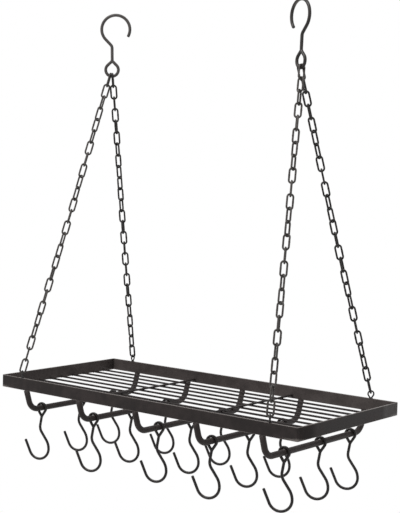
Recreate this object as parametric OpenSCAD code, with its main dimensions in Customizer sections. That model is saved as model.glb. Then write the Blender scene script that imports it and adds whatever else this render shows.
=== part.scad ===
// Ceiling-hung pot rack. A flat-bar shelf frame holds a grid of rods. Five round
// crossbars drop below the frame and carry closed-eye pot hooks. Four link chains
// rise from eyes on the frame and gather in two open ceiling hooks.
// Millimetres. X runs along the shelf, Y to the back, Z up. The origin lies midway
// between the two points where the ceiling hooks bear on what holds them.

/* [Shelf frame] */
// Length of the frame over its end rails
frame_l = 762; // [700:1:900]
// Depth of the frame over its long rails
frame_w = 349; // [300:1:420]
// Height of the flat bar
rail_h = 25.4; // [20:0.1:40]
// Thickness of the flat bar
rail_t = 3.2; // [2.5:0.1:4.5]
// Inside radius of the frame's corners
corner_inner_r = 0.4; // [0.2:0.1:5]

/* [Grid] */
// Diameter of the grid and cross rods
rod_d = 4.2; // [3:0.1:6]
// Distance between the two cross rods
cross_rod_span = 262; // [180:1:420]

/* [Crossbars] */
// Diameter of the crossbars
bar_d = 12; // [9:0.1:14]
// Distance between neighbouring crossbars
bar_pitch = 152.4; // [140:0.1:160]
// Drop from the rails' lower edge to the crossbar's centre line
bar_drop = 41.5; // [38:0.5:60]
// Bend radius of the crossbars at the centre line
bar_bend_r = 34; // [24:0.5:36]

/* [Pot hooks] */
// Wire diameter of the pot hooks
hook_wire = 4.7; // [3.5:0.1:5.5]
// Room in the hook's eye beyond a snug ring, on the radius
hook_eye_room = 0.95; // [0.9:0.05:3]
// Distance from the eye's centre to the point where its sides meet
hook_neck = 18; // [15:0.5:26]
// Radius of the neck's bend
hook_neck_r = 8; // [5:0.5:12]
// Length of the straight shank below the eye
hook_shank = 19; // [8:0.5:30]
// Lean of the shank away from upright, in degrees
hook_shank_lean = 9.4; // [0:0.1:15]
// Radius of the bend at the foot of the shank
hook_knee_r = 20; // [12:0.5:30]
// Length of the straight flank
hook_flank = 20; // [10:0.5:30]
// Slant of the flank, in degrees from upright
hook_flank_slant = 35; // [25:0.5:45]
// Radius of the shoulder between the flank and the bowl
hook_shoulder_r = 33; // [24:0.5:40]
// Radius of the bowl at the wire's centre line
hook_bowl_r = 23; // [18:0.5:30]
// Length of the straight tip
hook_tip = 27; // [10:0.5:35]
// Outward slant of the tip, in degrees from upright
hook_tip_slant = 24.4; // [0:0.2:30]
// Turn of the hooks about the vertical, away from square to their bars
hook_turn = 18; // [0:1:20]

/* [Chains] */
// Wire diameter of the chain links
link_wire = 3.4; // [2.6:0.1:3.8]
// Clear width inside a link
link_gap = 8; // [7.8:0.1:10]
// Distance from one link to the next when the chain is taut
link_pitch = 25.4; // [24:0.1:32]
// Distance from the frame's end to the chain eyes along a long rail
eye_inset = 61.5; // [50:0.5:80]
// Half turns in each chain, end to end: front left, back left, front right, back right
chain_half_turns = [15, 12, 15, 10];

/* [Chain eyes] */
// Wire diameter of the eyes on the frame
eye_wire = 3; // [2.4:0.1:3.6]
// Radius of the eyes at the wire's centre line
eye_r = 5.8; // [5:0.1:6.5]
// Depth below the rail's top of the point where an eye's legs would meet
eye_sink = 1; // [0.9:0.1:3]
// Height of the eyes' centres above the rail
eye_z = 9; // [8:0.1:9.5]
// Length and height of the weld at the foot of an eye
eye_weld = 9; // [6:0.5:12]
eye_weld_h = 1.6; // [1:0.1:2.5]
// Turn of the eyes about the vertical: front left, back left, front right, back right
eye_turn = [-30, -81, -60, 42];

/* [Ceiling hooks] */
// Distance between the two ceiling hooks
hanger_span = 487; // [420:1:560]
// Wire diameter of the ceiling hooks
hanger_wire = 6; // [5:0.1:6.2]
// Radius of the closed eye at the wire's centre line
hanger_eye_r = 13.4; // [11:0.1:16]
// Distance from the eye's centre to the point where its sides meet
hanger_neck = 18.9; // [17.5:0.1:26]
// Radius of the neck's bend
hanger_neck_r = 8; // [6:0.5:12]
// Length of the straight shank above the eye
hanger_shank = 21; // [12:0.1:50]
// Lean of the shank away from upright, in degrees
hanger_shank_lean = 4; // [0:0.5:8]
// Radius of the bend at the head of the shank
hanger_knee_r = 18; // [12:0.5:26]
// Length of the straight flank below the bow
hanger_flank = 20.5; // [12:0.5:30]
// Slant of the flank, in degrees from upright
hanger_flank_slant = 37.5; // [30:0.5:45]
// Radius of the open bow at the wire's centre line
hanger_bow_r = 30; // [24:0.5:40]
// Sweep of the open bow, in degrees
hanger_bow_sweep = 250; // [210:1:260]
// Turn of the left and right ceiling hooks about the vertical
hanger_turn = [36, -14];
// Distance between the two chains where they hang in a ceiling hook's eye
chain_spread = 5.3; // [5:0.1:9]

/* [Fits] */
// Play between a pot hook and its crossbar, and between a chain and its lower eye
hang_play = 0.3; // [0.25:0.05:0.5]
// Play between a chain and the ceiling hook's eye that it swings in
swing_play = 0.4; // [0.35:0.05:0.6]
// Play between neighbouring links of a taut chain
link_play = 0.2; // [0.15:0.05:0.4]
// Gap between a cross rod and the grid rods that it lies on
rod_play = 0.1; // [0.05:0.05:0.2]

/* [Hidden] */

rod_count = 9;
bar_count = 5;
hooks_per_bar = 3;
link_count = 26;
// The steps of a bent wire meet in short sleeves, a hair thicker than the wire
sleeve_gap = 0.1;
sleeve_l = 0.6;
sleeve_wall = 0.04;
widest_bend = 125;
wire_fn = 20;
bend_fn = 96;
bar_fn = 32;
frame_color = [0.20, 0.19, 0.19];
wire_color = [0.26, 0.25, 0.24];
chain_color = [0.33, 0.32, 0.31];
quarter = 90;
cut = 30; // side of the blocks that trim wires flush

// Where each bar's hooks hang, as shares of the stretch that they slide on
hook_places = [
    [-1.00, -0.10, 0.71],
    [-1.00, -0.10, 0.79],
    [-0.78, 0.01, 0.82],
    [-0.96, -0.03, 0.84],
    [-0.80, 0.13, 0.96]
];

// Bent wires are lists of steps: [length] runs straight, [radius, turn] bends,
// anticlockwise where the turn is positive. walk() gives the place and heading
// after a number of steps.
function run(at, step) = len(step) == 1
    ? [at[0] + step[0] * cos(at[2]), at[1] + step[0] * sin(at[2]), at[2]]
    : let (side = sign(step[1]), mid = bend_centre(at, step))
      [mid[0] + step[0] * cos(at[2] - side * quarter + step[1]),
       mid[1] + step[0] * sin(at[2] - side * quarter + step[1]),
       at[2] + step[1]];
function bend_centre(at, step) = let (side = sign(step[1]))
    [at[0] + step[0] * cos(at[2] + side * quarter),
     at[1] + step[0] * sin(at[2] + side * quarter)];
function walk(from, steps, n) = n == 0 ? from : run(walk(from, steps, n - 1), steps[n - 1]);

// Pot hook: from the wire's end beside the neck round the eye, down the shank and
// round the bowl. The eye's sides run straight to a point that the neck rounds off.
hook_eye_r = bar_d / 2 + hook_wire / 2 + hook_eye_room;
hook_eye_half = asin(hook_eye_r / hook_neck);
hook_eye_side = sqrt(pow(hook_neck, 2) - pow(hook_eye_r, 2));
hook_eye_open = (hook_wire / 2 * (1 + cos(2 * hook_eye_half)) + hang_play) / sin(2 * hook_eye_half);
hook_neck_cut = hook_neck_r * tan((hook_eye_half - hook_shank_lean) / 2);
hook_start = [-hook_eye_open * sin(hook_eye_half), -hook_neck + hook_eye_open * cos(hook_eye_half),
    quarter + hook_eye_half];
hook_steps = [
    [hook_eye_side - hook_eye_open],
    [hook_eye_r, -2 * (quarter + hook_eye_half)],
    [hook_eye_side - hook_neck_cut],
    [hook_neck_r, hook_eye_half - hook_shank_lean],
    [hook_shank - hook_neck_cut],
    [hook_knee_r, hook_shank_lean + hook_flank_slant],
    [hook_flank],
    [hook_shoulder_r, -hook_flank_slant],
    [hook_bowl_r, -2 * quarter + hook_tip_slant],
    [hook_tip]
];
// The eye's centre hangs this far below the bar's centre
hook_eye_drop = hook_eye_r - bar_d / 2 - hook_wire / 2 - hang_play;

// Ceiling hook: from the wire's end beside the neck round the eye, up the shank and
// over the bow. The eye's sides run straight to a point that the neck rounds off.
hanger_eye_half = asin(hanger_eye_r / hanger_neck);
hanger_eye_side = sqrt(pow(hanger_neck, 2) - pow(hanger_eye_r, 2));
hanger_eye_open = (hanger_wire / 2 * (1 + cos(2 * hanger_eye_half)) + hang_play)
    / sin(2 * hanger_eye_half);
hanger_neck_cut = hanger_neck_r * tan((hanger_eye_half - hanger_shank_lean) / 2);
hanger_start = [hanger_eye_open * sin(hanger_eye_half),
    hanger_neck - hanger_eye_open * cos(hanger_eye_half), hanger_eye_half - quarter];
hanger_steps = [
    [hanger_eye_side - hanger_eye_open],
    [hanger_eye_r, -2 * (quarter + hanger_eye_half)],
    [hanger_eye_side - hanger_neck_cut],
    [hanger_neck_r, hanger_eye_half - hanger_shank_lean],
    [hanger_shank - hanger_neck_cut],
    [hanger_knee_r, hanger_shank_lean + hanger_flank_slant],
    [hanger_flank],
    [hanger_bow_r, -hanger_bow_sweep]
];
hanger_bow = bend_centre(walk(hanger_start, hanger_steps, 7), hanger_steps[7]);
// The bow bears straight above the eye
hanger_rise = hanger_bow[1] + sqrt(pow(hanger_bow_r - hanger_wire / 2, 2) - pow(hanger_bow[0], 2));
hanger_eye_z = -hanger_rise;

// Links are measured on the wire's centre line
link_half_w = (link_gap + link_wire) / 2;
link_half_l = (link_pitch + link_wire + link_play) / 2;
// Distances between the centre lines of an end link's wire and of the eye it hangs in
seat_top = (hanger_wire + link_wire) / 2 + swing_play;
seat_foot = (eye_wire + link_wire) / 2 + hang_play;
eye_neck = eye_z + eye_sink;
eye_span = frame_l - 2 * eye_inset;
chain_l = (link_count - 1) * link_pitch + 2 * link_half_l - seat_top - seat_foot;
chain_dx = (eye_span - hanger_span) / 2;
chain_dy = (frame_w - rail_t) / 2;
chain_dz = sqrt(pow(chain_l, 2) - pow(chain_dx, 2) - pow(chain_dy, 2));
// The two chains of a hook lie side by side in its eye
chain_side = asin(chain_spread / 2 / hanger_eye_r);

// Levels
rail_top = hanger_eye_z - hanger_eye_r * cos(chain_side) - chain_dz - eye_r - eye_z;
rail_foot = rail_top - rail_h;
rod_z = rail_foot + rod_d / 2;
cross_rod_z = rod_z + rod_d + rod_play;
bar_z = rail_foot - bar_drop;

// Plan
corner_r = rail_t + corner_inner_r;
rod_pitch = (frame_w - 2 * rail_t) / (rod_count + 1);
bar_leg_y = frame_w / 2 - bar_d / 2;
bar_run = bar_leg_y - bar_bend_r;
hook_slide = bar_run - hook_eye_r * sin(hook_turn) - hook_wire / 2;

// Bar or wire of diameter d along X, from x = 0 to l
module stick(l, d, fn) rotate([0, quarter, 0]) cylinder(d = d, h = l, $fn = fn);

// Step n of a bent bar or wire of diameter d, in the XY plane, less a start of length gap
module bend_step(from, steps, n, d, fn, gap = 0) {
    at = walk(from, steps, n);
    step = steps[n];
    if (len(step) == 1) {
        translate([at[0], at[1], 0]) rotate([0, 0, at[2]]) translate([gap, 0, 0])
            stick(step[0] - gap, d, fn);
    } else {
        mid = bend_centre(at, step);
        skip = asin(gap / step[0]);
        first = at[2] - sign(step[1]) * quarter + min(step[1], skip);
        translate([mid[0], mid[1], 0]) rotate([0, 0, first])
            rotate_extrude(angle = abs(step[1]) - skip, $fn = bend_fn)
                translate([step[0], 0]) circle(d = d, $fn = fn);
    }
}

// The same steps with each long bend in equal shares of at most widest_bend degrees
function shares(step) = len(step) == 1 ? 1 : ceil(abs(step[1]) / widest_bend);
function in_shares(steps) = [for (step = steps) for (k = [1 : shares(step)])
    len(step) == 1 ? step : [step[0], step[1] / shares(step)]];

// The whole bent wire
module bent_wire(from, whole_steps, d) {
    steps = in_shares(whole_steps);
    for (n = [0 : len(steps) - 1]) {
        bend_step(from, steps, n, d, wire_fn, n == 0 ? 0 : sleeve_gap);
        if (n > 0) {
            at = walk(from, steps, n);
            translate([at[0], at[1], 0]) rotate([0, 0, at[2]]) translate([-sleeve_l / 2, 0, 0])
                stick(sleeve_l, d + 2 * sleeve_wall, wire_fn);
        }
    }
}

// A long rail: front where side is -1, back where it is 1. Its ends turn the corners.
module long_rail(side) color(frame_color) translate([0, 0, rail_foot])
    for (end = [-1, 1]) mirror([end < 0 ? 1 : 0, 0, 0]) mirror([0, side < 0 ? 1 : 0, 0]) {
        translate([0, frame_w / 2 - rail_t, 0])
            cube([frame_l / 2 - corner_r, rail_t, rail_h]);
        translate([frame_l / 2 - corner_r, frame_w / 2 - corner_r, 0])
            rotate_extrude(angle = quarter, $fn = bend_fn)
                translate([corner_r - rail_t, 0]) square([rail_t, rail_h]);
    }

// An end rail: left where side is -1, right where it is 1
module end_rail(side) color(frame_color)
    translate([side * (frame_l - rail_t) / 2 - rail_t / 2, -frame_w / 2 + corner_r, rail_foot])
        cube([rail_t, frame_w - 2 * corner_r, rail_h]);

// Grid rods run along X, numbered from the front
module grid_rod(i) color(frame_color)
    translate([-frame_l / 2 + rail_t, (i - (rod_count + 1) / 2) * rod_pitch, rod_z])
        stick(frame_l - 2 * rail_t, rod_d, wire_fn);

// Cross rods run from the front to the back rail over the grid rods
module cross_rod(side) color(frame_color)
    translate([side * cross_rod_span / 2, frame_w / 2 - rail_t, cross_rod_z])
        rotate([quarter, 0, 0]) cylinder(d = rod_d, h = frame_w - 2 * rail_t, $fn = wire_fn);

// Crossbars are numbered from the left. Each is a shallow U from rail to rail.
module crossbar(i) {
    leg = bar_drop - bar_bend_r;
    steps = [[leg], [bar_bend_r, quarter], [2 * bar_run], [bar_bend_r, quarter], [leg]];
    start = [-bar_leg_y, bar_drop, -quarter];
    color(frame_color)
        translate([(i - (bar_count + 1) / 2) * bar_pitch, 0, bar_z])
            rotate([quarter, 0, quarter])
                for (n = [0 : len(steps) - 1]) bend_step(start, steps, n, bar_d, bar_fn);
}

// Pot hooks are numbered from the left front, three to a bar
module pot_hook(i) {
    bar = floor((i - 1) / hooks_per_bar);
    place = hook_places[bar][(i - 1) % hooks_per_bar];
    bar_x = (bar - (bar_count - 1) / 2) * bar_pitch;
    color(wire_color)
        translate([bar_x, place * hook_slide, bar_z - hook_eye_drop])
            rotate([quarter, 0, hook_turn]) bent_wire(hook_start, hook_steps, hook_wire);
}

// Which entry of a list of four is the corner at this end and side
function corner_of(end, side) = (end + 1) + (side + 1) / 2;
// The level direction at an angle from X
function level(angle) = [cos(angle), sin(angle), 0];
up = [0, 0, 1];

// An eye stands on the long rail's top edge on a short weld
module chain_eye(end, side) {
    half = asin(eye_r / eye_neck);
    leg = sqrt(pow(eye_neck, 2) - pow(eye_r, 2));
    color(wire_color)
        translate([end * eye_span / 2, side * chain_dy, rail_top]) {
            difference() {
                rotate([quarter, 0, eye_turn[corner_of(end, side)]])
                    bent_wire([0, eye_z - eye_neck, quarter - half],
                        [[leg], [eye_r, 2 * (quarter + half)], [leg]], eye_wire);
                translate([-cut / 2, -cut / 2, -cut]) cube(cut);
            }
            rotate([quarter, 0, 0]) translate([0, 0, -rail_t / 2]) linear_extrude(rail_t)
                polygon([[-eye_weld / 2, 0], [eye_weld / 2, 0],
                         [eye_weld / 4, eye_weld_h], [-eye_weld / 4, eye_weld_h]]);
        }
}

// One oval link, long axis along Z, in the XZ plane, centre at the origin
module chain_link() {
    straight = link_half_l - link_half_w;
    for (side = [-1, 1]) {
        translate([side * link_half_w, 0, -straight])
            cylinder(d = link_wire, h = 2 * straight, $fn = wire_fn);
        translate([0, 0, side * straight]) rotate([side * quarter, 0, 0])
            rotate_extrude(angle = 2 * quarter, $fn = bend_fn)
                translate([link_half_w, 0]) circle(d = link_wire, $fn = wire_fn);
    }
}

// The turn about a chain's own line that stands a link square to a ring. The ring's
// plane holds the level direction flat, and the chain runs up along rise.
function square_turn(rise, flat) =
    let (heading = atan2(rise[1], rise[0]), tilt = acos(rise[2] / norm(rise)),
         wide = cross(rise, flat))
    atan2(wide * [-sin(heading), cos(heading), 0],
          wide * [cos(tilt) * cos(heading), cos(tilt) * sin(heading), -sin(tilt)]);

// A taut chain from a ceiling hook's eye down to an eye on the frame. Its end links
// stand square to the eyes, and the links between them share out the turning.
module chain(end, side) {
    corner = corner_of(end, side);
    hook_flat = level(hanger_turn[(end + 1) / 2]);
    eye_flat = level(eye_turn[corner]);
    // The pair of chains pulls a little inwards, and each lies on its own side of that
    pair_lean = atan2(end * chain_dx * hook_flat[0], chain_dz);
    hook_lean = pair_lean + (hook_flat[1] < 0 ? -side : side) * chain_side;
    top = [end * hanger_span / 2, 0, hanger_eye_z]
        + hanger_eye_r * (sin(hook_lean) * hook_flat - cos(hook_lean) * up);
    eye = [end * eye_span / 2, side * chain_dy, rail_top + eye_z];
    eye_lean = atan2((top - eye) * eye_flat, (top - eye) * up);
    foot = eye + eye_r * (sin(eye_lean) * eye_flat + cos(eye_lean) * up);
    rise = top - foot;
    first_turn = square_turn(rise, hook_flat);
    last_turn = square_turn(rise, eye_flat) + 2 * quarter * chain_half_turns[corner];
    step = (norm(rise) + seat_top + seat_foot - 2 * link_half_l) / (link_count - 1);
    color(chain_color)
        translate(top) rotate([0, acos(rise[2] / norm(rise)), atan2(rise[1], rise[0])])
            for (k = [0 : link_count - 1])
                translate([0, 0, seat_top - link_half_l - k * step])
                    rotate([0, 0, first_turn + k * (last_turn - first_turn) / (link_count - 1)])
                        chain_link();
}

// A ceiling hook: closed eye below, open bow above
module ceiling_hook(end) color(wire_color)
    translate([end * hanger_span / 2, 0, hanger_eye_z])
        rotate([quarter, 0, hanger_turn[(end + 1) / 2]]) mirror([end > 0 ? 1 : 0, 0, 0])
            bent_wire(hanger_start, hanger_steps, hanger_wire);

long_rail(-1);  // front_rail
long_rail(1);  // back_rail
end_rail(-1);  // left_rail
end_rail(1);  // right_rail
for (i = [1 : rod_count]) grid_rod(i);
cross_rod(-1);  // cross_rod_left
cross_rod(1);  // cross_rod_right
for (i = [1 : bar_count]) crossbar(i);
for (i = [1 : bar_count * hooks_per_bar])
    pot_hook(i);
chain_eye(-1, -1);  // chain_eye_front_left
chain_eye(-1, 1);  // chain_eye_back_left
chain_eye(1, -1);  // chain_eye_front_right
chain_eye(1, 1);  // chain_eye_back_right
chain(-1, -1);  // chain_front_left
chain(-1, 1);  // chain_back_left
chain(1, -1);  // chain_front_right
chain(1, 1);  // chain_back_right
ceiling_hook(-1);  // ceiling_hook_left
ceiling_hook(1);  // ceiling_hook_right
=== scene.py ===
"""A ceiling-hung pot rack: a flat-bar shelf frame with a rod grid, round crossbars with
pot hooks below it, and four link chains that gather in two open ceiling hooks.

Every piece is made of surfaces over two parameters, mostly a profile carried along a flat
path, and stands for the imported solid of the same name. Sizes are in millimetres until a
mesh is made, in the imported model's frame: X along the shelf, Y to the back, Z up."""
import math

import bpy
import numpy as np
from mathutils import Matrix


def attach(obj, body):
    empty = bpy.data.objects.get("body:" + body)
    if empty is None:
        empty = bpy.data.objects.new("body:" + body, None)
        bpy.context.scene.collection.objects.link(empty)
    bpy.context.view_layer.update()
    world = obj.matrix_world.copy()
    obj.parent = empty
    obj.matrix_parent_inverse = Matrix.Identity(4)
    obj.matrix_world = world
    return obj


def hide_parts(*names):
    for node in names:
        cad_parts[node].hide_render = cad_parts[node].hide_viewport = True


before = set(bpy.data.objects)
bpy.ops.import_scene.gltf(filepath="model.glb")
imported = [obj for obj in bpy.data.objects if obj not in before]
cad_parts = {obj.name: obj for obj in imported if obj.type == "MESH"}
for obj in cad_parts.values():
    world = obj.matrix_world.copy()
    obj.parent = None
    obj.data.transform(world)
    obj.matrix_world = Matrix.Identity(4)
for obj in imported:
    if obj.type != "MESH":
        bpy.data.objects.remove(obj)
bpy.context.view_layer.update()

MM = 0.001
ALONG, BACK, UP = np.eye(3)
# An end of the shelf is -1 on the left and 1 on the right, a side -1 in front and 1 behind
END_NAMES, SIDE_NAMES = {-1: "left", 1: "right"}, {-1: "front", 1: "back"}

# Shelf frame
FRAME_L, FRAME_W = 762.0, 349.0
RAIL_H, RAIL_T, CORNER_R = 25.4, 3.2, 3.6
RAIL_EDGE = 0.45              # rounding of the flat bar's long edges
# Grid
ROD_D, CROSS_ROD_SPAN, ROD_COUNT, ROD_PLAY = 4.2, 262.0, 9, 0.1
ROD_WELD = (1.4, 1.3, 0.8)    # half sizes of the nugget at a crossing
# Crossbars. The photograph's legs lean in a little, start near the rails' faces and bend
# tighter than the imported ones, whose bend still sets how far the hooks slide.
BAR_D, BAR_PITCH, BAR_DROP, BAR_COUNT, PACKED_BEND_R = 12.0, 152.4, 41.5, 5, 34.0
LEG_LEAN, LEG_INSET, LEG_BEND_R = 18.0, 0.5, 26.0
# Pot hooks. The photograph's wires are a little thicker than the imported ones; the packed
# wire still sets how far the hooks slide.
PACKED_HOOK_WIRE = 4.7
HOOK_WIRE, HOOK_EYE_ROOM, HOOK_NECK, HOOK_NECK_R = 5.6, 0.95, 18.0, 8.0
HOOK_SHANK, HOOK_LEAN, HOOK_KNEE_R, HOOK_FLANK, HOOK_SLANT = 19.0, 9.4, 20.0, 20.0, 35.0
HOOK_SHOULDER_R, HOOK_BOWL_R, HOOK_TIP, HOOK_TIP_SLANT = 33.0, 23.0, 27.0, 24.4
HOOK_TURN = 18.0
# Each crossbar's three hooks, as shares of how far a hook slides from the middle
HOOK_PLACES = ((-1.00, -0.10, 0.71), (-1.00, -0.10, 0.79), (-0.78, 0.01, 0.82),
               (-0.96, -0.03, 0.84), (-0.80, 0.13, 0.96))
# Chains, by end and side. The links of a chain turn by so many half turns on the way down.
LINK_WIRE, LINK_GAP, LINK_PITCH, LINK_COUNT, EYE_SPAN = 3.85, 8.0, 25.4, 26, 639.0
HALF_TURNS = {(-1, -1): 15, (-1, 1): 12, (1, -1): 15, (1, 1): 10}
CHAIN_SAG = 2.7               # its own weight bows a chain this far at mid-length
CHAIN_SPREAD = 5.5            # between the two top links in a ceiling hook's eye
SEAM_REACH, SEAM_RISE = 1.5, 0.09    # a butt seam's half length, and its share of the wire
# Chain eyes
EYE_WIRE, EYE_R, EYE_NECK, EYE_Z, EYE_WELD, EYE_WELD_H = 3.0, 5.8, 10.0, 9.0, 9.0, 1.6
EYE_TURN = {(-1, -1): -30.0, (-1, 1): -81.0, (1, -1): -60.0, (1, 1): 42.0}
EYE_LEG_LIFT = 0.3            # a leg ends this far up it from the rail's top, in the weld
# Ceiling hooks, bent like the photograph's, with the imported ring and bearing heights
HANGER_SPAN, HANGER_WIRE, HANGER_EYE_R = 487.0, 6.5, 13.65
HANGER_NECK, HANGER_NECK_R, HANGER_SHANK, HANGER_LEAN = 18.9, 8.0, 27.417, -2.0
HANGER_KNEE_R, HANGER_FLANK, HANGER_SLANT, HANGER_BOW_R = 10.0, 16.0, 45.0, 30.25
HANGER_BOW_SWEEP, HANGER_TURN = {-1: 252.0, 1: 268.0}, {-1: 36.0, 1: -21.5}
# Fits
HANG_PLAY, SWING_PLAY, LINK_PLAY = 0.3, 0.4, 0.2
EYE_END = 1.6                 # a hook's wire ends this far before the point of its eye
HOOK_TIPS, HANGER_TIPS = (0.35, 0.55), (0.35, 0.6)    # how far its tips reach, in radii

# Painted highlights on the right rail's top and the corners' feet, then rubbed paint, as
# shares of the rubbed-through tone, and how far a spot reaches
TOP_HIGHLIGHT, FOOT_HIGHLIGHT, FOOT_HIGHLIGHT_REACH = 0.8, 1.2, 6.5
RUN_WEAR, SEAT_WEAR, SEAT_REACH = 0.25, 0.6, 9.0
HOOK_EYE_WEAR, BOWL_WEAR, HANGER_WEAR, LINK_WEAR = 0.8, 0.75, 0.8, 0.55
# Paleness, as shares of the pale tone. Painted light on a rail's inner and outer face away
# from the back right corner, what its nearness and the left end add, and a painted highlight
# on the right rail's top; dust on the crossbars; painted light on the chains and ceiling hooks
INNER_PAINTED_LIGHT, OUTER_PAINTED_LIGHT, TOP_PAINTED_LIGHT = (0.26, 0.60, 0.46), (0.05, 0.20), 0.9
BAR_DUST, CHAIN_PAINTED_LIGHT, HANGER_PAINTED_LIGHT = 0.26, {-1: 0.58, 1: 0.0}, {-1: 0.75, 1: 0.20}

# Camera, solved from the frame's corners: its turns about the shelf's middle in degrees,
# that middle's place before it in shelf lengths, and its lens and film in millimetres
AZIMUTH, ELEVATION, ROLL = 38.79504, 3.64572, 1.53089
SHELF_IN_VIEW = (-0.02193, -0.36976, -3.2308)
LENS, FILM = 84.264, 36.0
# Stage, in metres
FLOOR_HALF, FLOOR_DROP = 4.0, 1.1
WHITE, PALE, ROOM_LEVEL = (1, 1, 1, 1), (0.8, 0.8, 0.8, 1), 0.50

# Fineness of the meshes
BEND_STEP = 6.0               # degrees of bend between two stations of a path
RUN_STEP = 12.0               # longest straight stretch between two stations
BAR_STEP, WIRE_STEP, LINK_STEP = 60.0, 6.0, 3.0    # the same on rails, hooks and links
SIDES_WIRE, SIDES_BAR, SIDES_LINK = 20, 32, 12
TIP_RINGS = np.array([18.0, 38.0, 58.0, 75.0])     # degrees round a wire's closed tip


def sin(angle):
    return np.sin(np.radians(angle))


def cos(angle):
    return np.cos(np.radians(angle))


def turned(x, y, angle):
    """Two coordinates turned by an angle: the first goes towards the second."""
    return cos(angle) * x - sin(angle) * y, sin(angle) * x + cos(angle) * y


# ---------------------------------------------------------------- flat paths
def bend_centre(station, step):
    """The middle of a bend that starts at a station: one radius square to its heading."""
    x, y, heading = station
    radius, turn = step
    side = math.copysign(90, turn)
    return x + radius * cos(heading + side), y + radius * sin(heading + side)


def trace(start, steps, run_step=RUN_STEP):
    """Stations (x, y, heading) along a flat wire. A step (length,) runs on along the
    heading; a step (radius, turn) goes round the point one radius to the side that it
    turns to, at an even rate. Each step's last station is the next step's first."""
    x, y, heading = start
    stations = []
    for step in steps:
        if len(step) == 1:
            t = np.linspace(0, step[0], max(2, int(math.ceil(step[0] / run_step)) + 1))
            part = np.stack([x + t * cos(heading), y + t * sin(heading), heading + 0 * t], 1)
        else:
            radius, turn = step
            mid_x, mid_y = bend_centre((x, y, heading), step)
            t = np.linspace(0, turn, max(3, int(math.ceil(abs(turn) / BEND_STEP)) + 1))
            angle = heading - math.copysign(90, turn) + t
            part = np.stack([mid_x + radius * cos(angle), mid_y + radius * sin(angle),
                             heading + t], 1)
        x, y, heading = part[-1]
        stations.append(part[:-1])
    stations.append(part[-1:])
    return np.concatenate(stations)


def round_tips(stations, radius, tips):
    """Adds stations past each free end, and gives every station's share of the full
    radius: past the end the surface closes as a half ellipse, cosine across and sine on.
    A tip is its ellipse's length in radii."""
    share = np.ones(len(stations))
    for end, reach in enumerate(tips):
        tip = stations[-1] if end else stations[0]
        on = (1 if end else -1) * reach * radius * sin(TIP_RINGS)
        extra = np.stack([tip[0] + on * cos(tip[2]), tip[1] + on * sin(tip[2]),
                          tip[2] + 0 * on], 1)
        if end:
            stations = np.concatenate([stations, extra])
            share = np.concatenate([share, cos(TIP_RINGS)])
        else:
            stations = np.concatenate([extra[::-1], stations])
            share = np.concatenate([cos(TIP_RINGS)[::-1], share])
    return stations, share


def teardrop(radius, neck):
    """A wire's closed eye is a circle and the two tangents that meet in a point, one neck
    from its middle. Returns half the point's angle and the length of a tangent."""
    return math.degrees(math.asin(radius / neck)), math.sqrt(neck ** 2 - radius ** 2)


def eye_start(radius, neck, way):
    """Where a hook's wire starts, short of the point of its eye: way 1 has the point below
    the eye, -1 above it."""
    half = teardrop(radius, neck)[0]
    return -way * EYE_END * sin(half), way * (EYE_END * cos(half) - neck), half + way * 90


def eye_to_flank(radius, neck, neck_r, shank, lean, knee_r, slant, flank):
    """The first steps of a hook's wire: along the eye's side, round the eye, back to the
    point, round the neck into the shank, and over the knee into the flank. Both straights
    beside the neck give up its radius times the tangent of half its turn."""
    half, side = teardrop(radius, neck)
    cut = neck_r * math.tan(math.radians((half - lean) / 2))
    return ((side - EYE_END,), (radius, -2 * (90 + half)), (side - cut,), (neck_r, half - lean),
            (shank - cut,), (knee_r, lean + slant), (flank,))


# ---------------------------------------------------------------- surfaces
def ring(radius, sides):
    """A circle as profile points (across, up)."""
    angle = np.arange(sides) * 360.0 / sides
    return np.stack([radius * cos(angle), radius * sin(angle)], 1)


def flat_bar(thick, high, rounding):
    """A rectangle with rounded corners, anticlockwise, and how much each point belongs
    to an edge: 1 on the rounding and 0 on the flats. A flat keeps a point close to each
    rounding, so that it shades as a flat."""
    half_t, half_h = thick / 2 - rounding, high / 2 - rounding
    arc = np.linspace(0, 90, 5)
    guard = min(0.6, half_t * 0.6)
    points, edge = [], []
    for corner, (sx, sy) in enumerate(((1, 1), (-1, 1), (-1, -1), (1, -1))):
        angle = arc + corner * 90
        points.append(np.stack([sx * half_t + rounding * cos(angle),
                                sy * half_h + rounding * sin(angle)], 1))
        edge.append(np.ones(len(angle)))
        last = points[-1][-1]
        along = np.array([cos(corner * 90 + 180.0), sin(corner * 90 + 180.0)])
        run = 2 * (half_t if corner % 2 == 0 else half_h)
        on_flat = np.array([guard, run * 0.25, run * 0.5, run * 0.75, run - guard])
        points.append(last + on_flat[:, None] * along)
        edge.append(np.zeros(len(on_flat)))
    return np.concatenate(points), np.concatenate(edge)


def carry(stations, profile, scale=None):
    """A profile carried along a flat path: each point lies across the heading by the
    profile's first number times the scale there, and out of the plane by its second.
    Returns (stations, profile points, 3) in the path's own plane (u, v, w)."""
    x, y, heading = stations.T
    scale = np.ones((len(x), 1)) if scale is None else np.asarray(scale).reshape(len(x), -1)
    across, out = profile[None, :, 0] * scale, profile[None, :, 1] * scale
    return np.stack([x[:, None] - sin(heading)[:, None] * across,
                     y[:, None] + cos(heading)[:, None] * across, out], 2)


def lump(centre, radii, turn=0.0, seed=0.0, rows=9, sides=14):
    """A weld nugget: an ellipsoid whose radius swells by sines of both angles."""
    t = np.linspace(-90, 90, rows)[1:-1, None]
    a = np.arange(sides)[None, :] * 360.0 / sides
    swell = 1 + 0.07 * sin(3 * a + 70 * seed) * cos(t) + 0.06 * sin(2 * a + 4 * t + 130 * seed)
    x, y, z = (swell * cos(t) * cos(a) * radii[0], swell * cos(t) * sin(a) * radii[1],
               swell * sin(t) * radii[2] + 0 * a)
    return np.stack([*turned(x, y, turn), z], 2) + np.array(centre), False


def plane(u, v, w, at):
    """The 3 by 4 matrix that puts a path's own plane in the frame: three axes and a point."""
    return np.stack([u, v, w, at], 1).astype(float)


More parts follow.
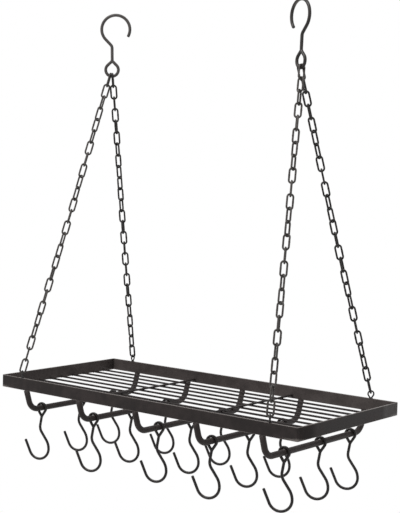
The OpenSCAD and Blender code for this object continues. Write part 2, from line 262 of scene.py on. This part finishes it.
def upright(turn, at, flip=1):
    """Stands the plane (u, v, w) up: u runs level at an angle from X, v runs up."""
    return plane((flip * cos(turn), flip * sin(turn), 0), UP, (sin(turn), -cos(turn), 0), at)


def put(points, place):
    """Points of a plane (u, v, w) in the frame."""
    return points @ place[:, :3].T + place[:, 3]


def skin(surfaces):
    """Vertices, quads and triangles of closed skins. A surface is (grid, loop): each row
    joins the next and closes on itself; a loop's last row joins its first, and any other
    grid gets a centre point on both ends."""
    points, quads, tris, base = [], [], [], 0
    for grid, loop in surfaces:
        rows, sides = grid.shape[:2]
        index = base + np.arange(rows * sides).reshape(rows, sides)
        beside = np.roll(index, -1, 1)
        if loop:
            here, here_b = index, beside
            after, after_b = np.roll(index, -1, 0), np.roll(beside, -1, 0)
        else:
            here, here_b, after, after_b = index[:-1], beside[:-1], index[1:], beside[1:]
        quads.append(np.stack([here, after, after_b, here_b], 2).reshape(-1, 4))
        points.append(grid.reshape(-1, 3))
        base += rows * sides
        if not loop:
            points.append(np.stack([grid[0].mean(0), grid[-1].mean(0)]))
            first, last = np.full(sides, base), np.full(sides, base + 1)
            tris.append(np.stack([first, index[0], beside[0]], 1))
            tris.append(np.stack([last, beside[-1], index[-1]], 1))
            base += 2
    tris = np.concatenate(tris) if tris else np.zeros((0, 3), int)
    return np.concatenate(points), np.concatenate(quads), tris


def with_ends(weights):
    """Weights for a whole skin: its two centre points, at the ends, get 0."""
    return np.concatenate([weights.ravel(), [0, 0]])


def piece(node, surfaces, body, finish, place=None, wear=0.0, dust_and_light=0.0):
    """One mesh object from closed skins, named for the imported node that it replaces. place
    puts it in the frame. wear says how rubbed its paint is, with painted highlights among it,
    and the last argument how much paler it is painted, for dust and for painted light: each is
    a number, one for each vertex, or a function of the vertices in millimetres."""
    points, quads, tris = skin(surfaces)
    if place is not None:
        points = put(points, place)
        if np.linalg.det(place[:, :3]) < 0:
            quads, tris = quads[:, ::-1], tris[:, ::-1]
    mesh = bpy.data.meshes.new(node)
    corners = np.concatenate([quads.ravel(), tris.ravel()])
    sizes = np.concatenate([np.full(len(quads), 4), np.full(len(tris), 3)])
    mesh.vertices.add(len(points))
    mesh.vertices.foreach_set("co", (points * MM).ravel())
    mesh.loops.add(len(corners))
    mesh.loops.foreach_set("vertex_index", corners)
    mesh.polygons.add(len(sizes))
    mesh.polygons.foreach_set("loop_start", np.concatenate([[0], np.cumsum(sizes)[:-1]]))
    mesh.polygons.foreach_set("use_smooth", np.ones(len(sizes), bool))
    mesh.update(calc_edges=True)
    for label, given in (("rubbed", wear), ("dusty_and_lit", dust_and_light)):
        values = np.zeros(len(points)) + (given(points) if callable(given) else given)
        mesh.attributes.new(label, "FLOAT", "POINT").data.foreach_set("value", values)
    mesh.materials.append(finish)
    made = bpy.data.objects.new(node, mesh)
    bpy.context.scene.collection.objects.link(made)
    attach(made, body)
    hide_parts(node)


# ---------------------------------------------------------------- paths and levels
HOOK_EYE_R = BAR_D / 2 + HOOK_WIRE / 2 + HOOK_EYE_ROOM
HOOK_EYE_DROP = HOOK_EYE_R - BAR_D / 2 - HOOK_WIRE / 2 - HANG_PLAY
HOOK_START = eye_start(HOOK_EYE_R, HOOK_NECK, 1)
HOOK_TO_BOWL = eye_to_flank(HOOK_EYE_R, HOOK_NECK, HOOK_NECK_R, HOOK_SHANK, HOOK_LEAN, HOOK_KNEE_R,
                            HOOK_SLANT, HOOK_FLANK) + ((HOOK_SHOULDER_R, -HOOK_SLANT),)
HOOK_BOWL = (HOOK_BOWL_R, -180 + HOOK_TIP_SLANT)
HOOK_STEPS = HOOK_TO_BOWL + (HOOK_BOWL, (HOOK_TIP,))

# A ceiling hook hangs on its bow's inner side, straight over the middle of its eye
HANGER_START = eye_start(HANGER_EYE_R, HANGER_NECK, -1)
HANGER_TO_BOW = eye_to_flank(HANGER_EYE_R, HANGER_NECK, HANGER_NECK_R, HANGER_SHANK, HANGER_LEAN,
                             HANGER_KNEE_R, HANGER_SLANT, HANGER_FLANK)
BOW = bend_centre(trace(HANGER_START, HANGER_TO_BOW)[-1], (HANGER_BOW_R, -1))
HANGER_EYE_Z = -(BOW[1] + math.sqrt((HANGER_BOW_R - HANGER_WIRE / 2) ** 2 - BOW[0] ** 2))

# A chain's length between its seats and its run along and across give its height
LINK_HALF_W = (LINK_GAP + LINK_WIRE) / 2
LINK_HALF_L = (LINK_PITCH + LINK_WIRE + LINK_PLAY) / 2
SEAT_TOP = (HANGER_WIRE + LINK_WIRE) / 2 + SWING_PLAY
SEAT_FOOT = (EYE_WIRE + LINK_WIRE) / 2 + HANG_PLAY
CHAIN_L = (LINK_COUNT - 1) * LINK_PITCH + 2 * LINK_HALF_L - SEAT_TOP - SEAT_FOOT
CHAIN_DX, CHAIN_DY = (EYE_SPAN - HANGER_SPAN) / 2, (FRAME_W - RAIL_T) / 2
CHAIN_DZ = math.sqrt(CHAIN_L ** 2 - CHAIN_DX ** 2 - CHAIN_DY ** 2)
CHAIN_SIDE = math.degrees(math.asin(CHAIN_SPREAD / 2 / HANGER_EYE_R))

RAIL_TOP = HANGER_EYE_Z - HANGER_EYE_R * cos(CHAIN_SIDE) - CHAIN_DZ - EYE_R - EYE_Z
RAIL_FOOT = RAIL_TOP - RAIL_H
ROD_Z = RAIL_FOOT + ROD_D / 2
CROSS_ROD_Z = ROD_Z + ROD_D + ROD_PLAY
ROD_PITCH = (FRAME_W - 2 * RAIL_T) / (ROD_COUNT + 1)
BAR_Z = RAIL_FOOT - BAR_DROP
PACKED_RUN = FRAME_W / 2 - BAR_D / 2 - PACKED_BEND_R
HOOK_SLIDE = (PACKED_RUN - (BAR_D / 2 + PACKED_HOOK_WIRE / 2 + HOOK_EYE_ROOM) * sin(HOOK_TURN)
              - PACKED_HOOK_WIRE / 2)


# ---------------------------------------------------------------- camera and lamps
def stand(made, axes, at):
    """Adds an object to the scene at a point, its own X, Y and Z along three axes."""
    place = np.eye(4)
    place[:3, :3], place[:3, 3] = np.transpose(axes), at
    bpy.context.scene.collection.objects.link(made)
    made.matrix_world = Matrix(place.tolist())


def set_camera():
    """The photograph's viewpoint, as azimuth, elevation and roll about the shelf's middle."""
    back = np.array([sin(AZIMUTH) * cos(ELEVATION), -cos(AZIMUTH) * cos(ELEVATION),
                     sin(ELEVATION)])
    flat = np.cross(-back, UP)
    flat /= np.linalg.norm(flat)
    rise = np.cross(flat, -back)
    right = flat * cos(ROLL) + rise * sin(ROLL)
    top = -flat * sin(ROLL) + rise * cos(ROLL)
    axes = np.stack([right, top, back])
    shelf_middle = np.array([0, 0, (RAIL_TOP - RAIL_H / 2) * MM])
    data = bpy.data.cameras.new("photo_camera")
    data.lens, data.sensor_width = LENS, FILM
    data.clip_start, data.clip_end = 0.05, 60.0
    camera = bpy.data.objects.new("photo_camera", data)
    stand(camera, axes, shelf_middle - axes.T @ (np.array(SHELF_IN_VIEW) * FRAME_L * MM))
    bpy.context.scene.camera = camera


def soft_light(name, at, towards, size, watts):
    """A rectangular lamp that faces a point, its own X square to the room's depth."""
    data = bpy.data.lights.new(name, "AREA")
    data.shape, data.size, data.size_y, data.energy = "RECTANGLE", size[0], size[1], watts
    at, towards = np.array(at, float), np.array(towards, float)
    z = (at - towards) / np.linalg.norm(at - towards)
    x = np.cross([0, 1, 0.001], z)
    x /= np.linalg.norm(x)
    stand(bpy.data.objects.new(name, data), [x, np.cross(z, x), z], at)


# ---------------------------------------------------------------- finishes
class Tone:
    """A node's output. Its operators add Math nodes to the finish that it belongs to."""

    def __init__(self, finish, socket):
        self.finish, self.socket = finish, socket

    def other(self, out):
        """Another output of the same node."""
        return Tone(self.finish, self.socket.node.outputs[out])

    def math(self, operation, other):
        return self.finish.node("ShaderNodeMath", {"operation": operation}, {0: self, 1: other})

    def swapped(self, operation, first):
        return self.finish.node("ShaderNodeMath", {"operation": operation}, {0: first, 1: self})

    def __add__(self, other):
        return self.math("ADD", other)

    def __sub__(self, other):
        return self.math("SUBTRACT", other)

    def __rsub__(self, other):
        return self.swapped("SUBTRACT", other)

    def __mul__(self, other):
        return self.math("MULTIPLY", other)

    __radd__, __rmul__ = __add__, __mul__

    def between(self, low, high):
        """0 at or under low, 1 at or over high, with a soft step between."""
        return self.finish.node("ShaderNodeMapRange", {"interpolation_type": "SMOOTHSTEP"},
                                {"Value": self, "From Min": low, "From Max": high})


class Finish:
    """The nodes of a material or of the world."""

    def __init__(self, owner):
        owner.use_nodes = True
        self.owner, self.tree = owner, owner.node_tree
        self.tree.nodes.clear()

    def node(self, kind, settings=None, sockets=None, out=0):
        """Any node: its settings, then its sockets' values or links. Returns one output."""
        made = self.tree.nodes.new(kind)
        for key, value in (settings or {}).items():
            setattr(made, key, value)
        for key, value in (sockets or {}).items():
            if isinstance(value, Tone):
                self.tree.links.new(value.socket, made.inputs[key])
            else:
                made.inputs[key].default_value = value
        return Tone(self, made.outputs[out]) if made.outputs else made

    def noise(self, place, scale, detail, roughness):
        """Cloudy noise with so many blotches to the metre."""
        return self.node("ShaderNodeTexNoise", None, {
            "Vector": place, "Scale": scale, "Detail": detail, "Roughness": roughness}, "Fac")

    def attribute(self, name):
        return self.node("ShaderNodeAttribute", {"attribute_name": name}, None, "Fac")

    def mix(self, share, first, second):
        return self.node("ShaderNodeMix", {"data_type": "RGBA"}, {0: share, 6: first, 7: second}, 2)

    def seen_or(self, lighting, seen):
        """One shader to the camera, to reflections and through glass, another for light."""
        ray = self.node("ShaderNodeLightPath", out="Is Camera Ray")
        share = ray.math("MAXIMUM", ray.other("Is Glossy Ray"))
        share = share.math("MAXIMUM", ray.other("Is Transmission Ray"))
        return self.node("ShaderNodeMixShader", None, {0: share, 1: lighting, 2: seen})

    def close(self, shader, kind="ShaderNodeOutputMaterial"):
        self.node(kind, None, {"Surface": shader})
        return self.owner


def satin_paint(name, dark, brown, dust_and_light_tone, rubbed_and_highlight, dull, peel, grain, shine):
    """Brushed-on satin paint over steel: cloudy brown in near black, a finely pebbled
    skin, duller patches, a pale tone that is dust in some places and painted light in
    others, and a lighter tone that is rubbed paint along edges and where parts slide and
    painted highlight on the rails' right top and corner feet. dull is added to the
    roughness, peel is the height of the bumps, grain the fine speckle in the roughness
    and shine the strength of reflections."""
    f = Finish(bpy.data.materials.new(name))
    place = f.node("ShaderNodeTexCoord", out="Object")
    cloud = f.noise(place, 38.0, 4.0, 0.6).between(0.35, 0.68)
    speck = f.noise(place, 420.0, 3.0, 0.65)
    pebble = f.noise(place, 1500.0, 2.0, 0.55)
    dent = f.noise(place, 95.0, 2.0, 0.5)
    worn_and_highlit = (f.attribute("rubbed") * 1.35 + (speck - 0.5) * 0.9 - 0.28).between(0.15, 0.95)
    tint = f.mix(cloud, dark, brown)
    # the pale tone: dust on the crossbars, and painted light where rails, front chains and ceiling
    # hooks are painted paler
    tint = f.mix(f.attribute("dusty_and_lit") * (0.8 + cloud * 0.4), tint, dust_and_light_tone)
    # the lighter tone: rubbed paint, and painted highlights on the right rail's top and corner feet
    tint = f.mix(worn_and_highlit, tint, rubbed_and_highlight)
    rough = 0.40 + dull + (cloud - 0.5) * 0.10 + (speck - 0.5) * grain - worn_and_highlit * 0.08
    height = pebble * 0.35 + speck * 0.35 + dent * 0.9
    bump = f.node("ShaderNodeBump", None, {"Strength": peel, "Distance": 0.0006, "Height": height})
    return f.close(f.node("ShaderNodeBsdfPrincipled", None, {
        "Base Color": tint, "Roughness": rough, "Normal": bump, "Specular IOR Level": shine}))


def set_world():
    """A plain, even room that the camera and reflections see white."""
    world = bpy.data.worlds.new("white_room")
    bpy.context.scene.world = world
    f = Finish(world)
    plain = f.node("ShaderNodeBackground", None, {"Color": WHITE, "Strength": ROOM_LEVEL})
    white = f.node("ShaderNodeBackground", None, {"Color": WHITE, "Strength": 1.0})
    f.close(f.seen_or(plain, white), "ShaderNodeOutputWorld")


def set_floor():
    """A pale floor well below the rack. The camera and reflections see it white."""
    half, level = FLOOR_HALF, RAIL_TOP * MM - FLOOR_DROP
    mesh = bpy.data.meshes.new("floor")
    corners = [(x * half, y * half, level) for x, y in ((-1, -1), (1, -1), (1, 1), (-1, 1))]
    mesh.from_pydata(corners, [], [(0, 1, 2, 3)])
    floor = bpy.data.objects.new("floor", mesh)
    bpy.context.scene.collection.objects.link(floor)
    f = Finish(bpy.data.materials.new("pale_floor"))
    pale = f.node("ShaderNodeBsdfDiffuse", None, {"Color": PALE})
    white = f.node("ShaderNodeEmission", None, {"Color": WHITE, "Strength": 1.0})
    mesh.materials.append(f.close(f.seen_or(pale, white)))


bpy.context.scene.view_settings.view_transform = "Standard"
set_camera()
set_world()
set_floor()
soft_light("overhead", at=(-0.2, -1.3, 1.7), towards=(0, 0, -0.6), size=(1.6, 1.0), watts=46)
soft_light("front_left", at=(-1.6, -2.6, 0.6), towards=(0, 0, -0.5), size=(0.7, 1.4), watts=16)

FRAME_PAINT = satin_paint(
    "frame_paint", dark=(0.0185, 0.0150, 0.0146, 1), brown=(0.0300, 0.0236, 0.0228, 1),
    dust_and_light_tone=(0.085, 0.072, 0.069, 1), rubbed_and_highlight=(0.19, 0.170, 0.160, 1),
    dull=0.04, peel=0.20, grain=0.08, shine=0.12)
WIRE_PAINT = satin_paint(
    "wire_paint", dark=(0.0105, 0.0088, 0.0085, 1), brown=(0.0185, 0.0150, 0.0142, 1),
    dust_and_light_tone=(0.075, 0.068, 0.064, 1), rubbed_and_highlight=(0.17, 0.155, 0.145, 1),
    dull=-0.08, peel=0.10, grain=0.05, shine=0.25)
CHAIN_PAINT = satin_paint(
    "chain_paint", dark=(0.0095, 0.0080, 0.0076, 1), brown=(0.0175, 0.0148, 0.0137, 1),
    dust_and_light_tone=(0.085, 0.076, 0.070, 1), rubbed_and_highlight=(0.20, 0.185, 0.170, 1),
    dull=-0.05, peel=0.10, grain=0.05, shine=0.25)


# ---------------------------------------------------------------- shelf frame
# Where the right rail's top gets its painted highlight
def on_right_top_highlight(points):
    return (points[:, 0] > FRAME_L / 2 - 1.5 * RAIL_T) & (points[:, 2] > RAIL_TOP - 1.5 * RAIL_EDGE)


def corner_foot_highlight(points):
    """A painted highlight at the foot of the frame's corners: a bell round each corner's lowest
    point.
    """
    gap = np.abs([FRAME_L / 2, FRAME_W / 2, RAIL_FOOT]) - np.abs(points)
    return FOOT_HIGHLIGHT * np.exp(-(gap ** 2).sum(1) / FOOT_HIGHLIGHT_REACH ** 2)


def rail_painted_light(points):
    """Painted light on the rails: the inner faces are painted paler than the outer ones, the
    left one most, and all grow paler with a power of the nearness to the back right corner,
    where more light falls. The right rail's top is palest of all, a painted highlight."""
    across, deep = points[:, 0], points[:, 1]
    inside = np.minimum(FRAME_L / 2 - np.abs(across), FRAME_W / 2 - np.abs(deep)) > RAIL_T / 2
    near = np.clip((across / FRAME_L + deep / FRAME_W + 1) / 2, 0, 1)
    on_left = across < 1.5 * RAIL_T - FRAME_L / 2
    dust_and_light = np.where(inside, INNER_PAINTED_LIGHT[0] + INNER_PAINTED_LIGHT[1] * near ** 3 + INNER_PAINTED_LIGHT[2] * on_left,
                    OUTER_PAINTED_LIGHT[0] + OUTER_PAINTED_LIGHT[1] * near ** 4)
    return np.where(on_right_top_highlight(points), TOP_PAINTED_LIGHT, dust_and_light)


def rail(name, stations):
    """A flat bar on edge, carried along its plan. Its long edges are rubbed, and the right
    rail's whole top and the foot of each corner get the same lighter tone as painted highlights."""
    profile, edge = flat_bar(RAIL_T, RAIL_H, RAIL_EDGE)
    edges = with_ends(np.tile(edge, len(stations)))

    def rubbed(points):
        # rubbed edges, with the painted highlights on the right rail's top and at the corners' feet
        return np.maximum.reduce([edges, TOP_HIGHLIGHT * on_right_top_highlight(points), corner_foot_highlight(points)])

    piece(name, [(carry(stations, profile), False)], "rack", FRAME_PAINT,
          plane(ALONG, BACK, UP, (0, 0, RAIL_FOOT + RAIL_H / 2)), rubbed, rail_painted_light)


def make_rails():
    """The long rails with a bent return at both ends, and the end rails between them."""
    bend_r, half_l, half_w = CORNER_R - RAIL_T / 2, FRAME_L / 2, FRAME_W / 2
    for side in (-1, 1):
        start = (-half_l + RAIL_T / 2, side * (half_w - CORNER_R), side * 90)
        bend = (bend_r, -side * 90)
        rail(SIDE_NAMES[side] + "_rail",
             trace(start, (bend, (FRAME_L - 2 * CORNER_R,), bend), BAR_STEP))
    for end in (-1, 1):
        start = (end * (half_l - RAIL_T / 2), -half_w + CORNER_R, 90)
        rail(END_NAMES[end] + "_rail", trace(start, ((FRAME_W - 2 * CORNER_R,),), BAR_STEP))


def flared(length, radius, seed, flare=1.5, foot=1.7):
    """A round rod along u from 0 to a length. At both ends it swells into its weld: the
    radius grows with the square of the nearness to the end, with a few soft lobes."""
    near = np.array([0, 0.25, 0.5, 0.75, 1.0, 1.35]) * foot
    run = np.linspace(0, length, max(3, int(length / BAR_STEP)))[1:-1]
    at = np.concatenate([near, run, length - near[::-1]])
    swell = np.clip(1 - np.minimum(at, length - at) / foot, 0, 1) ** 2
    angle = np.arange(SIDES_WIRE) * 360.0 / SIDES_WIRE
    lobes = 1 + 0.22 * sin(3 * angle + 50 * seed) + 0.15 * sin(5 * angle + 95 * seed)
    scale = 1 + (flare - 1) * swell[:, None] * lobes[None, :]
    stations = np.stack([at, 0 * at, 0 * at], 1)
    return carry(stations, ring(radius, SIDES_WIRE), scale)


def make_grid():
    """Rods along the shelf between the end rails, and two over them, welded to each."""
    start_x, start_y = -FRAME_L / 2 + RAIL_T, -FRAME_W / 2 + RAIL_T
    for i in range(ROD_COUNT):
        y = (i - (ROD_COUNT - 1) / 2) * ROD_PITCH
        piece("grid_rod_%d" % (i + 1), [(flared(FRAME_L - 2 * RAIL_T, ROD_D / 2, i), False)],
              "rack", FRAME_PAINT, plane(ALONG, BACK, UP, (start_x, y, ROD_Z)))
    for end in (-1, 1):
        rod = flared(FRAME_W - 2 * RAIL_T, ROD_D / 2, end)
        welds = [lump(((i + 1) * ROD_PITCH, 0, -ROD_D / 2 - ROD_PLAY / 2), ROD_WELD,
                      turn=40 * i, seed=i + end) for i in range(ROD_COUNT)]
        place = plane(BACK, -ALONG, UP, (end * CROSS_ROD_SPAN / 2, start_y, CROSS_ROD_Z))
        piece("cross_rod_" + END_NAMES[end], [(rod, False)] + welds, "rack",
              FRAME_PAINT, place)


# ---------------------------------------------------------------- crossbars
def crossbar_welds(seed):
    """Nuggets where both legs meet the rails: a row across the bar along the rail's inner
    face, and one on each side of the bar under the rail. Radii are deep, high and wide."""
    row_radii, row_step, row_out, row_up = (1.5, 1.3, 1.5), 2.1, 0.5, 0.3
    side_radii, side_off, side_in, side_down = (1.9, 0.9, 1.0), 5.6, 1.7, 0.2
    welds = []
    for side in (-1, 1):
        row_y, side_y = side * (FRAME_W / 2 - RAIL_T - row_out), side * (FRAME_W / 2 - side_in)
        for k in range(5):
            welds.append(lump((row_y, BAR_DROP + row_up, (k - 2) * row_step), row_radii,
                              seed=seed + k + side, rows=7, sides=10))
        for k in (-1, 1):
            welds.append(lump((side_y, BAR_DROP - side_down, k * side_off), side_radii,
                              seed=seed + 3 * k, rows=7, sides=10))
    return welds


def make_crossbars():
    """Each is one round bar: down a leaning leg, round a bend, along and up again."""
    bend = (LEG_BEND_R, 90 - LEG_LEAN)
    leg_drop = BAR_DROP - LEG_BEND_R * (1 - sin(LEG_LEAN))
    leg = leg_drop / cos(LEG_LEAN)
    start_y = FRAME_W / 2 - LEG_INSET
    run = start_y - leg_drop * math.tan(math.radians(LEG_LEAN)) - LEG_BEND_R * cos(LEG_LEAN)
    stations = trace((-start_y, BAR_DROP, LEG_LEAN - 90), ((leg,), bend, (2 * run,), bend, (leg,)))
    bar = carry(stations, ring(BAR_D / 2, SIDES_BAR))
    for i in range(BAR_COUNT):
        hooks = np.array(HOOK_PLACES[i]) * HOOK_SLIDE

        def rubbed(points):
            """Where a hook's eye rides on the bar's top the paint is rubbed: most within a
            few millimetres of each hook, and a little all along the run."""
            near = np.abs(points[:, 1:2] - hooks[None, :]).min(1)
            top = np.clip((points[:, 2] - BAR_Z) / (BAR_D / 2), 0, 1) ** 2
            spots = RUN_WEAR + SEAT_WEAR * np.exp(-(near / SEAT_REACH) ** 2)
            return np.where(np.abs(points[:, 1]) < run, top * spots, 0.0)

        x = (i - (BAR_COUNT - 1) / 2) * BAR_PITCH
        piece("crossbar_%d" % (i + 1), [(bar, False)] + crossbar_welds(i), "rack",
              FRAME_PAINT, upright(90, (x, 0, BAR_Z)), rubbed, BAR_DUST)


# ---------------------------------------------------------------- hooks
def seat(grid, wire, centre, radius, way, start, reach):
    """Wear where a bend carries its load. It goes by the depth inside the bend's middle
    line as a share of the wire's radius, times a ramp up (way 1) or down (way -1) from the
    bend's middle: 0 as far as start, and full a reach further."""
    x, y = grid[..., 0] - centre[0], grid[..., 1] - centre[1]
    depth = np.clip((radius - np.hypot(x, y)) / (wire / 2), 0, 1)
    return depth * np.clip((way * y - start) / reach, 0, 1)


def hook_wire(path, wire, tips):
    """A hook's wire along its path, with a rounded tip in the eye and at the free end."""
    stations, share = round_tips(path, wire / 2, tips)
    return carry(stations, ring(wire / 2, SIDES_WIRE), share)


def make_pot_hooks():
    """Each is one wire: round the eye, in at the neck, down the shank and round the bowl.
    It is rubbed where it rides on the bar and where pans hang in the bowl."""
    grid = hook_wire(trace(HOOK_START, HOOK_STEPS, WIRE_STEP), HOOK_WIRE, HOOK_TIPS)
    bowl = bend_centre(trace(HOOK_START, HOOK_TO_BOWL)[-1], HOOK_BOWL)
    on_bar = seat(grid, HOOK_WIRE, (0, 0), HOOK_EYE_R, way=1, start=0, reach=HOOK_EYE_R)
    in_bowl = seat(grid, HOOK_WIRE, bowl, HOOK_BOWL_R, way=-1, start=8, reach=10)
    wear = with_ends(np.maximum(HOOK_EYE_WEAR * on_bar, BOWL_WEAR * in_bowl))
    for bar, places in enumerate(HOOK_PLACES):
        x = (bar - (BAR_COUNT - 1) / 2) * BAR_PITCH
        for k, share in enumerate(places):
            number = bar * len(places) + k + 1
            place = upright(HOOK_TURN, (x, share * HOOK_SLIDE, BAR_Z - HOOK_EYE_DROP))
            piece("pot_hook_%d" % number, [(grid, False)], "hook_%d" % number,
                  WIRE_PAINT, place, wear)


def make_ceiling_hook(end):
    """One wire: round the closed eye, up the shank and over the open bow. It is rubbed
    where the chains pull on the eye and where the bow bears."""
    path = trace(HANGER_START, HANGER_TO_BOW + ((HANGER_BOW_R, -HANGER_BOW_SWEEP[end]),), WIRE_STEP)
    grid = hook_wire(path, HANGER_WIRE, HANGER_TIPS)
    in_eye = seat(grid, HANGER_WIRE, (0, 0), HANGER_EYE_R, way=-1, start=0, reach=HANGER_EYE_R)
    in_bow = seat(grid, HANGER_WIRE, BOW, HANGER_BOW_R, way=1, start=10, reach=12)
    place = upright(HANGER_TURN[end], (end * HANGER_SPAN / 2, 0, HANGER_EYE_Z), -end)
    # Both ceiling hooks are painted paler, the left far more: painted highlight.
    piece("ceiling_hook_" + END_NAMES[end], [(grid, False)], "hangers", WIRE_PAINT,
          place, with_ends(HANGER_WEAR * np.maximum(in_eye, in_bow)), HANGER_PAINTED_LIGHT[end])


# ---------------------------------------------------------------- chains
def level(angle):
    return np.array([cos(angle), sin(angle), 0.0])


def heading_and_tilt(rise):
    """A line's heading from X and its tilt from upright, in degrees."""
    return (math.degrees(math.atan2(rise[1], rise[0])),
            math.degrees(math.acos(rise[2] / np.linalg.norm(rise))))


def square_turn(rise, flat):
    """The turn about a chain's own line that stands a link square to a ring whose plane
    holds the level direction flat."""
    heading, tilt = heading_and_tilt(rise)
    wide = np.cross(rise, flat)
    sideways = np.array([-sin(heading), cos(heading), 0])
    forward = np.array([cos(tilt) * cos(heading), cos(tilt) * sin(heading), -sin(tilt)])
    return math.degrees(math.atan2(wide @ sideways, wide @ forward))


def chain_line(end, side):
    """Where a chain starts in the ceiling hook's eye, the way up to there from its own eye
    on the rail, and the turns of its first and last link. Both points lie on the eyes'
    middle lines: the two chains of an end sit side by side, leaning with their pull."""
    hook_flat, eye_flat = level(HANGER_TURN[end]), level(EYE_TURN[end, side])
    pair_lean = math.degrees(math.atan2(end * CHAIN_DX * hook_flat[0], CHAIN_DZ))
    hook_lean = pair_lean + (-side if hook_flat[1] < 0 else side) * CHAIN_SIDE
    top = (np.array([end * HANGER_SPAN / 2, 0, HANGER_EYE_Z])
           + HANGER_EYE_R * (sin(hook_lean) * hook_flat - cos(hook_lean) * UP))
    eye = np.array([end * EYE_SPAN / 2, side * CHAIN_DY, RAIL_TOP + EYE_Z])
    eye_lean = math.degrees(math.atan2((top - eye) @ eye_flat, (top - eye) @ UP))
    rise = top - (eye + EYE_R * (sin(eye_lean) * eye_flat + cos(eye_lean) * UP))
    last = square_turn(rise, eye_flat) + 180 * HALF_TURNS[end, side]
    return top, rise, square_turn(rise, hook_flat), last


def bent_link():
    """A link in its own plane: wire carried round an oval of two straights and two half
    circles, swollen at its butt seam by a bell and two soft lobes. Its wear is greatest
    on the outside of both half circles."""
    straight = LINK_HALF_L - LINK_HALF_W
    oval = trace((LINK_HALF_W, -straight, 90), ((2 * straight,), (LINK_HALF_W, 180)) * 2,
                 LINK_STEP)[:-1]
    around = np.arange(SIDES_LINK) * 360.0 / SIDES_LINK
    seam = np.exp(-(oval[:, 1] / SEAM_REACH) ** 2) * (oval[:, 0] > 0)
    swell = 1 + SEAM_RISE * seam[:, None] * (1 + 0.5 * cos(2 * around))[None, :]
    crown = np.clip((np.abs(oval[:, 1]) - straight) / LINK_HALF_W, 0, 1)
    wear = LINK_WEAR * crown[:, None] * (0.5 - 0.5 * cos(around))[None, :]
    return carry(oval, ring(LINK_WIRE / 2, SIDES_LINK), swell), wear


def make_chain(end, side):
    """The links of one chain as one mesh. Link k is turned by an even share of the whole
    turn and set down the chain's line by k pitches, all in one array. The row sags off
    that line by the square of a half wave."""
    top, rise, first, last = chain_line(end, side)
    pitch = (np.linalg.norm(rise) + SEAT_TOP + SEAT_FOOT - 2 * LINK_HALF_L) / (LINK_COUNT - 1)
    link, wear = bent_link()
    k = np.arange(LINK_COUNT)
    turn = (first + k * (last - first) / (LINK_COUNT - 1))[:, None, None]
    x, y = turned(link[None, ..., 0], -link[None, ..., 2], turn)
    z = link[None, ..., 1] + (SEAT_TOP - LINK_HALF_L - k * pitch)[:, None, None]
    heading, tilt = heading_and_tilt(rise)
    z, x = turned(z, x, tilt)
    links = np.stack([*turned(x, y, heading), z], 3) + top
    below = (rise @ UP) * rise / (rise @ rise) - UP
    droop = CHAIN_SAG * sin(180.0 * (k + 0.5) / LINK_COUNT) ** 2
    links = links + droop[:, None, None, None] * below / np.linalg.norm(below)
    # The front chains are painted paler than the back ones: painted light from above the front.
    piece("chain_%s_%s" % (SIDE_NAMES[side], END_NAMES[end]), [(grid, True) for grid in links],
          "rack", CHAIN_PAINT, None, np.tile(wear.ravel(), LINK_COUNT),
          CHAIN_PAINTED_LIGHT[side])


def make_chain_eye(end, side):
    """A bent wire with both legs in a low weld mound, a row of nuggets, on the rail's top."""
    half, leg = teardrop(EYE_R, EYE_NECK)
    cut = (EYE_NECK - EYE_Z) / cos(half) + EYE_LEG_LIFT
    start = (cut * sin(half), cut * cos(half) - EYE_NECK, 90 - half)
    path = trace(start, ((leg - cut,), (EYE_R, 2 * (90 + half)), (leg - cut,)), WIRE_STEP)
    at = np.array([end * EYE_SPAN / 2, side * CHAIN_DY, RAIL_TOP])
    wire = put(carry(path, ring(EYE_WIRE / 2, SIDES_WIRE)),
               upright(EYE_TURN[end, side], at + EYE_Z * UP))
    radii = (EYE_WELD / 4.6, RAIL_T / 2 * 1.02, EYE_WELD_H)
    welds = [lump(at + [(k - 1.5) * EYE_WELD / 5.2, 0, 0.15], radii, seed=k + end,
                  rows=11, sides=16) for k in range(4)]
    piece("chain_eye_%s_%s" % (SIDE_NAMES[side], END_NAMES[end]), [(wire, False)] + welds,
          "rack", WIRE_PAINT)


make_rails()
make_grid()
make_crossbars()
make_pot_hooks()
for end in (-1, 1):
    for side in (-1, 1):
        make_chain(end, side)
        make_chain_eye(end, side)
for end in (-1, 1):
    make_ceiling_hook(end)
